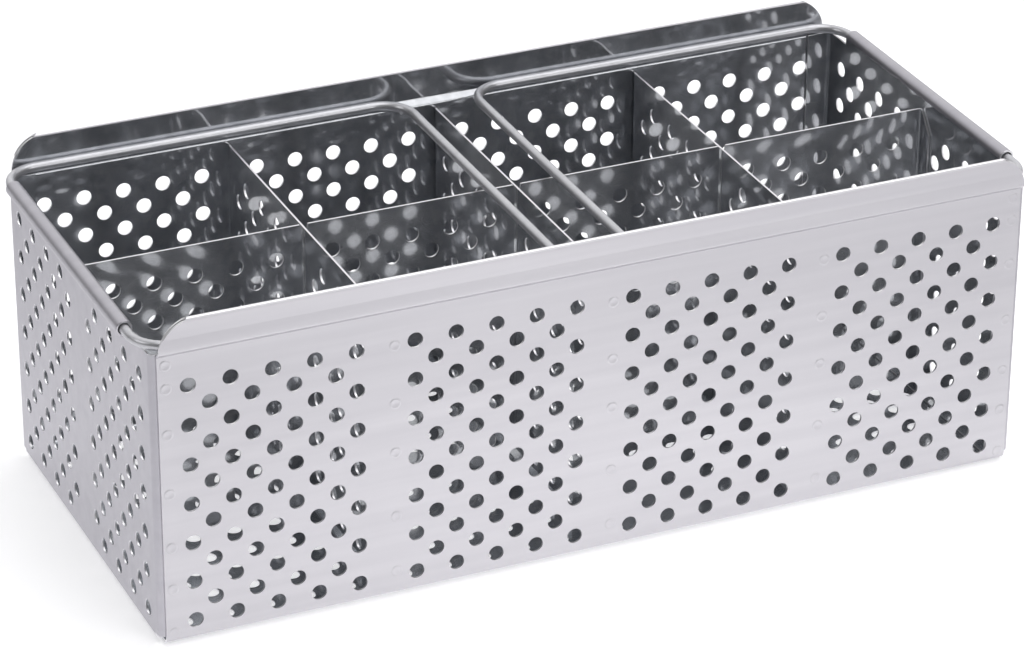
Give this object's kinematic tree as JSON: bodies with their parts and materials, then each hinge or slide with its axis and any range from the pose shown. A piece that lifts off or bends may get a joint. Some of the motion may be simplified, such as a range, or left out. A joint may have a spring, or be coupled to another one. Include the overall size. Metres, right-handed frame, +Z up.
{
  "type": "cutlery drying basket",
  "caption": "Rectangular perforated stainless steel cutlery basket with divided compartments and a folding wire drop handle at each end, for washing and draining upright cutlery.",
  "frame": {"origin": "middle of the floor's underside, where the basket stands", "axes": "+X along the length to the right-hand end, +Y towards the back panel, +Z up"},
  "size_m": [0.435, 0.202, 0.16],
  "materials": {
    "satin_sheet": "satin cold-rolled stainless sheet",
    "bright_sheet": "bright cold-rolled stainless sheet",
    "polished_rod": "polished stainless rod"
  },
  "bodies": {
    "basket": {"front_panel": "satin_sheet", "back_panel": "satin_sheet", "left_end_wall": "satin_sheet", "right_end_wall": "satin_sheet", "floor_panel": "bright_sheet", "long_divider": "bright_sheet", "cross_divider_1": "bright_sheet", "cross_divider_2": "bright_sheet", "cross_divider_3": "bright_sheet"},
    "left_handle": {"left_handle": "polished_rod"},
    "right_handle": {"right_handle": "polished_rod"}
  },
  "joints": [
    {"name": "left_handle_hinge", "type": "hinge", "parent": "basket", "child": "left_handle", "pos_m": [-0.21375, 0, 0.1454], "axis": [0, -1, 0], "range_deg": [0, 225]},
    {"name": "right_handle_hinge", "type": "hinge", "parent": "basket", "child": "right_handle", "pos_m": [0.21375, 0, 0.1454], "axis": [0, 1, 0], "range_deg": [0, 225]}
  ]
}
